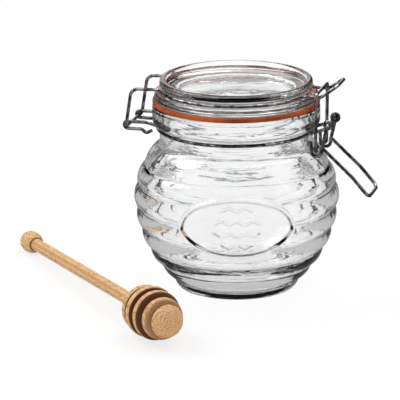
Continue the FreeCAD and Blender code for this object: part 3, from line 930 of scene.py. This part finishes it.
@dataclass
class Dipper:
    """The turned wooden dipper lying beside the jar; sizes in millimetres, angles in degrees."""

    axis: Vector
    away: Point = (-121.6, 23.6)
    heading: float = -49.2
    rise: float = 2.706
    knob: float = 5.65
    knob_end: Point = (2.54, -4.8)
    knob_widest: Span = (0.4, 2.2)
    knob_bends: tuple[float, ...] = (5.66, 5.0, 9.0)
    knob_foot: float = 8.0
    knob_flare: float = 0.6
    stick: float = 3.3
    stick_start: float = 8.4
    head_start: float = 143.0
    head_step: float = 0.3
    head_bend: float = 14.0
    first: float = 148.2
    step: float = 7.3
    ridge_w: float = 4.2
    ridges: tuple[float, ...] = (11.9, 13.1, 12.6, 10.85)
    ridge_bend: float = 5.0
    ridge_drop: float = 0.5
    last_drop: float = 0.9
    core: float = 6.2
    cap_r: float = 8.5
    cap_l: float = 6.6
    cap_bend: float = 8.8
    softness: float = 0.35
    plain_stick: Span = (11.0, 140.0)
    coarse: float = 2.5
    close: float = 0.28
    steps: int = 96
    # painted shade: in each groove and over the ridge edges beside it, weaker in the last groove, and in
    # lines in the creases at the knob's foot and the head's start
    shade_before: float = 0.75
    shade_after: float = 0.6
    shade_under: float = 0.35
    last_groove_shade: float = 0.42
    crease_shade_lines: tuple[ShadeLine, ...] = (ShadeLine(8.5, 0.5, 4.2, 0.9), ShadeLine(143.0, 0.9, 4.3, 0.7))

    def outline(self) -> list[Point]:
        """The profile, as the radius at each place along the dipper.

        Returns:
            The points from the knob's back to the cap's tip.
        """
        line = Profile(0.0, self.knob_end[1]).to(*self.knob_end)
        line.curve(self.knob, self.knob_widest[0], self.knob_bends[0], count=10)
        line.curve(self.knob, self.knob_widest[1], self.knob_bends[1], count=4)
        line.curve(self.stick + self.knob_flare, self.knob_foot, self.knob_bends[2], count=8)
        line.to(self.stick, self.stick_start).to(self.stick, self.head_start - 2 * self.head_step)
        line.to(self.stick + self.head_step, self.head_start)
        line.curve(self.ridges[0] - self.ridge_drop, self.first, self.head_bend, count=8)
        last = len(self.ridges) - 1
        for k, ridge in enumerate(self.ridges):
            start = self.first + k * self.step
            if k:
                line.to(self.core, start).to(ridge - self.ridge_drop, start)
            drop = self.last_drop if k == last else self.ridge_drop
            line.curve(ridge - drop, start + self.ridge_w, self.ridge_bend, count=8)
            line.to(self.core, start + self.ridge_w)
        start = self.first + len(self.ridges) * self.step
        line.to(self.core, start).to(self.cap_r, start)
        line.curve(0.0, start + self.cap_l, self.cap_bend, count=16)
        start, end = self.plain_stick
        return line.softened(self.softness, lambda r, s: self.coarse if start < s < end else self.close)

    def painted_shade(self, radius: float, place: float) -> float:
        """How much painted shade the wood gets in its grooves and creases.

        Args:
            radius: the distance from the dipper's axis.
            place: the place along it.

        Returns:
            The strength, from 0 to 1.
        """
        last = len(self.ridges) - 1
        for k, ridge in enumerate(self.ridges):
            start, end = self.first + k * self.step + self.ridge_w, self.first + (k + 1) * self.step
            after = self.cap_r if k == last else self.ridges[k + 1]
            edge = (ridge if place < (start + end) / 2 else after) - self.shade_under
            if start - self.shade_before <= place <= end + self.shade_after and radius < edge:
                return self.last_groove_shade if k == last else 1.0
        for line in self.crease_shade_lines:
            if abs(place - line.place) < line.half_width and radius < line.under:
                return line.strength
        return 0.0

    def build(self, finish: bpy.types.Material) -> bpy.types.Object:
        """Builds the dipper upright, marks its grain and painted shade, lays it down and dresses it.

        Args:
            finish: the wood.

        Returns:
            The piece.
        """
        piece = Lathe.turn("wood_dipper", self.outline(), Vector((0, 0, 0)), [(360.0, self.steps)])
        piece.data.attributes.new("grain", "FLOAT_VECTOR", "POINT")
        # each point keeps the strength of its painted shade in the grooves and creases
        piece.data.attributes.new("painted_shade", "FLOAT", "POINT")
        grain, painted_shade = piece.data.attributes["grain"], piece.data.attributes["painted_shade"]
        for i, vertex in enumerate(piece.data.vertices):
            place = vertex.co / MM
            grain.data[i].vector = place
            painted_shade.data[i].value = self.painted_shade(math.hypot(place.x, place.y), place.z)
        rise, heading = math.radians(self.rise), math.radians(self.heading)
        level = math.cos(rise)
        along = Vector((level * math.cos(heading), level * math.sin(heading), math.sin(rise)))
        start = self.axis + Vector((*self.away, self.knob * level)) * MM
        turn = Vector((0, 0, 1)).rotation_difference(along).to_matrix().to_4x4()
        piece.data.transform(Matrix.Translation(start) @ turn)
        piece.data.materials.append(finish)
        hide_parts("honey_dipper")
        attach(piece, "jar")
        return piece


# ------------------------------------------------------------------ closure
class ClosurePart(Enum):
    """The CAD nodes of the closure that keep their shape."""

    NECK_WIRE = "neck_wire"
    LINK = "clip_link"
    LEVER = "clip_lever"


@dataclass
class Closure:
    """The wires of the closure; sizes in millimetres, angles in degrees."""

    axis: Vector
    thick: float = 1.8
    level: float = 104.6
    ring: float = 39.0
    ring_step: int = 2
    hinge: Point = (-55.0, 84.2)
    hinge_bend: float = 2.6
    bracket: float = 14.5
    corner: Point = (-51.8, 104.4)
    corner_bend: float = 4.4
    bracket_end: float = -41.0
    leave_back: int = 148
    back_bend: float = 2.5
    leave_front: int = 26
    level_bend: float = 3.0
    tongue: float = 10.0
    tongue_turn: float = 46.6
    tip: Point = (55.2, 110.8)
    tip_bend: float = 5.0

    def straight_from_ring(self, angle: int, across: float) -> Vector:
        """Where the wire that leaves the ring straight comes to a distance from the middle plane.

        Args:
            angle: where it leaves the ring.
            across: the distance.

        Returns:
            The place.
        """
        leave = math.radians(angle)
        x, y = self.ring * math.cos(leave), self.ring * math.sin(leave)
        reach = (y - across) / abs(math.cos(leave))
        return Vector((x + math.copysign(reach * math.sin(leave), x), across, self.level))

    def half_loop(self) -> list[tuple[Vector, float]]:
        """The far half of the lid wire, from the hinge bar to the tongue's tip.

        Returns:
            Each corner's place and the radius of its bend.
        """
        half = [
            (Vector((self.hinge[0], self.bracket, self.hinge[1])), self.hinge_bend),
            (Vector((self.corner[0], self.bracket, self.corner[1])), self.corner_bend),
            (Vector((self.bracket_end, self.bracket, self.level)), self.level_bend),
            (self.straight_from_ring(self.leave_back, self.bracket), self.back_bend),
        ]
        for angle in range(self.leave_back, self.leave_front - 1, -self.ring_step):
            turn = math.radians(angle)
            half.append((Vector((self.ring * math.cos(turn), self.ring * math.sin(turn), self.level)), 0.0))
        half.append((self.straight_from_ring(self.leave_front, self.tongue), self.level_bend))
        half.append((Vector((self.tongue_turn, self.tongue, self.level)), self.level_bend))
        half.append((Vector((self.tip[0], self.tongue, self.tip[1])), self.tip_bend))
        return half

    def bend_lid_wire(self, finish: bpy.types.Material) -> bpy.types.Object:
        """Bends the lid wire with its hinge bracket and tongue.

        Args:
            finish: the steel.

        Returns:
            The piece.
        """
        half = self.half_loop()
        other = [(Vector((place.x, -place.y, place.z)), bend) for place, bend in reversed(half)]
        line = [self.axis + place * MM for place in WireBender.bent(half + other)]
        piece = WireBender.draw("lid_wire_bent", line, self.thick * MM)
        piece.data.materials.append(finish)
        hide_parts("lid_wire")
        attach(piece, "lid")
        return piece

    def dress(self, finish: bpy.types.Material) -> None:
        """Gives each wire that keeps its CAD shape its finish.

        Args:
            finish: the steel.
        """
        for part in ClosurePart:
            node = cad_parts[part.value]
            if not node.material_slots:
                node.data.materials.append(finish)
            for slot in node.material_slots:
                slot.material = finish


# ------------------------------------------------------------------ studio
@dataclass
class Studio:
    """Floor, world, lamps and camera; sizes in metres, angles in degrees."""

    axis: Vector
    camera_place: Triple = (0.38823, -1.44889, 0.4895)
    camera_aim: Triple = (-0.01837, -0.00492, 0.04452)
    lens: float = 271.5
    sensor: float = 36.0
    roll: float = -0.46
    lamp_aim: Triple = (0.0, 0.0, 0.05)
    white: Colour = grey(1.0)
    floor_size: float = 6.0
    floor_drop: float = 0.0002
    floor_matt: Colour = grey(0.93)
    floor_glow: float = 0.78
    floor_glow_in_glass: float = 0.96
    floor_glow_in_metal: float = 0.8
    # the floor's painted dark reflection, as metal sees it
    floor_in_metal: Colour = grey(0.07)
    floor_reach: float = 2.0
    # painted shade on the floor as glass sees it, by distance from the jar
    floor_fade: tuple[Stop, ...] = (
        (0.02, grey(0.96)), (0.06, grey(1.0)), (0.24, grey(1.0)),
        (0.36, grey(0.60, 0.01)), (0.62, grey(0.20, 0.01)))
    inner_dimming: float = 0.7
    fill: Colour = grey(0.62)
    drift_scale: float = 2.2
    cards: int = 4
    card_turn: float = 133.0
    card_shades: tuple[Stop, ...] = (
        (0.03, grey(0.34, 0.01)), (0.20, grey(0.75, 0.01)), (0.50, grey(1.0)))
    level_shades: tuple[Stop, ...] = (
        (0.50, grey(0.50, 0.01)), (0.56, grey(1.0)), (0.64, grey(0.62)), (0.72, grey(1.0)))
    strips: int = 3
    strip_turn: float = 20.0
    strip_span: Span = (0.72, 0.86)
    strip_dark: Colour = grey(0.03)
    top_span: Span = (0.74, 0.86)

    def dimmed(self, nodes: Nodes) -> bpy.types.NodeSocket:
        """A factor that falls with each reflection inside the glass, so that its edges are drawn dark."""
        turns = nodes.add("LightPath").outputs["Glossy Depth"]
        return nodes.sum("DIVIDE", 1.0, nodes.sum("MULTIPLY_ADD", turns, self.inner_dimming, 1.0))

    def floor(self) -> None:
        """Adds the pale floor, which looks white where nothing shades it; seen through glass it glows with
        painted shade, a little darker under the jar and darker far off, and in metal it shows a painted dark
        reflection.
        """
        bpy.ops.object.select_all(action="DESELECT")
        place = (self.axis.x, self.axis.y, -self.floor_drop)
        bpy.ops.mesh.primitive_plane_add(size=self.floor_size, location=place)
        floor = bpy.context.object
        floor.name = "pale_floor"
        material, nodes = Nodes.for_material("pale_floor")
        path = nodes.add("LightPath").outputs
        where = nodes.add("TexCoord").outputs["Object"]
        away = nodes.add("VectorMath", {0: where}, operation="LENGTH").outputs["Value"]
        # painted shade on the floor as glass sees it: a little darker under the jar, darker far off, and
        # darker after each reflection inside the glass
        fade = nodes.ramp(nodes.sum("MULTIPLY", away, 1 / self.floor_reach), self.floor_fade)
        fade = nodes.mix(1.0, fade, self.dimmed(nodes), "MULTIPLY")
        # A ray that passes through glass counts as glossy too, so what metal mirrors is glossy alone.
        mirrored = nodes.sum("SUBTRACT", path["Is Glossy Ray"], path["Is Transmission Ray"])
        glow_in_glass = nodes.sum("MULTIPLY", path["Is Transmission Ray"], self.floor_glow_in_glass)
        share = nodes.sum("MULTIPLY_ADD", path["Is Camera Ray"], self.floor_glow, glow_in_glass)
        share = nodes.sum("MULTIPLY_ADD", mirrored, self.floor_glow_in_metal, share)
        # painted dark reflection: metal sees the floor nearly black
        colour = nodes.mix(mirrored, fade, opaque(self.floor_in_metal))
        colour = nodes.mix(path["Is Camera Ray"], colour, opaque(self.white))
        matt = nodes.add("BsdfDiffuse", {0: opaque(self.floor_matt)})
        glow = nodes.add("Emission", {0: colour, 1: 1.0})
        both = nodes.add("MixShader", {0: share, 1: matt.outputs[0], 2: glow.outputs[0]})
        nodes.add("OutputMaterial", {0: both.outputs[0]})
        floor.data.materials.append(material)

    def world(self) -> None:
        """Lights the set evenly, with a white background and darker cards round it for glass and metal."""
        world = bpy.data.worlds.new("studio")
        bpy.context.scene.world = world
        world.use_nodes = True
        nodes = Nodes(world.node_tree)
        path = nodes.add("LightPath").outputs
        where = nodes.add("TexCoord").outputs["Generated"]
        direction = nodes.add("SeparateXYZ", {0: where}).outputs
        turn = nodes.sum("ARCTAN2", direction[1], direction[0])
        angle = nodes.sum("ADD", turn, nodes.noise(where, self.drift_scale))
        around = nodes.ramp(nodes.wave(angle, self.cards, self.card_turn), self.card_shades)
        tall = nodes.ramp(nodes.unit(direction[2]), self.level_shades)
        through = nodes.mix(1.0, around, tall, "MULTIPLY")
        through = nodes.mix(1.0, through, self.dimmed(nodes), "MULTIPLY")
        strips = nodes.wave(angle, self.strips, self.strip_turn)
        strips = nodes.blend(strips, self.strip_span, self.strip_dark, self.white)
        top = nodes.blend(direction[2], self.top_span, grey(0.0), self.white)
        mirrored = nodes.mix(top, strips, opaque(self.white))
        # A ray that passes through glass counts as glossy too, so its mix comes after the glossy one.
        colour = nodes.mix(path["Is Glossy Ray"], opaque(self.fill), mirrored)
        colour = nodes.mix(path["Is Transmission Ray"], colour, through)
        colour = nodes.mix(path["Is Camera Ray"], colour, opaque(self.white))
        light = nodes.add("Background", {0: colour, 1: 1.0})
        nodes.add("OutputWorld", {0: light.outputs[0]})

    def lamp(self, name: str, place: Triple, width: float, power: float) -> None:
        """Adds one soft square lamp that points at the jar.

        Args:
            name: its name.
            place: where it hangs.
            width: its side.
            power: its power in watts.
        """
        data = bpy.data.lights.new(name, "AREA")
        data.shape, data.size, data.energy = "SQUARE", width, power
        lamp = bpy.data.objects.new(name, data)
        bpy.context.scene.collection.objects.link(lamp)
        lamp.location = place
        lamp.rotation_mode = "QUATERNION"
        aim = self.axis + Vector(self.lamp_aim)
        lamp.rotation_quaternion = (aim - Vector(place)).to_track_quat("-Z", "Y")

    def camera(self) -> None:
        """Adds the camera."""
        data = bpy.data.cameras.new("camera")
        data.lens, data.sensor_width = self.lens, self.sensor
        camera = bpy.data.objects.new("camera", data)
        bpy.context.scene.collection.objects.link(camera)
        place = self.axis + Vector(self.camera_place)
        aim = self.axis + Vector(self.camera_aim)
        camera.location = place
        camera.rotation_mode = "QUATERNION"
        turn = (aim - place).to_track_quat("-Z", "Y")
        camera.rotation_quaternion = turn @ Quaternion((0, 0, 1), math.radians(self.roll))
        bpy.context.scene.camera = camera

    def build(self) -> None:
        """Builds the studio."""
        self.floor()
        self.world()
        self.lamp("soft_left", (-1.0, 0.1, 1.2), width=0.9, power=9.0)
        self.lamp("soft_top", (0.3, 0.5, 1.4), width=1.0, power=7.0)
        self.camera()
        bpy.context.scene.view_settings.view_transform = "Standard"


def report(piece: bpy.types.Object) -> None:
    """Logs a finished piece."""
    LOG.info("%s has %d points", piece.name, len(piece.data.vertices))


def main() -> None:
    """Builds the jar, its lid and closure, the dipper and the studio, in order."""
    logging.basicConfig(level=logging.INFO, format="%(name)s: %(message)s")
    axis = jar_axis()
    bpy.ops.object.select_all(action="DESELECT")
    steel = WireFinish().make()
    closure = Closure(axis)
    report(GlassJar(axis).build(GlassFinish("jar_glass").make()))
    report(GlassLid(axis).build(GlassFinish("lid_glass").make()))
    report(Dipper(axis).build(WoodFinish().make()))
    report(RubberSeal(axis).build(RubberFinish().make()))
    report(closure.bend_lid_wire(steel))
    closure.dress(steel)
    LOG.info("closure dressed")
    Studio(axis).build()
    LOG.info("studio built")


if __name__ == "__main__":
    main()
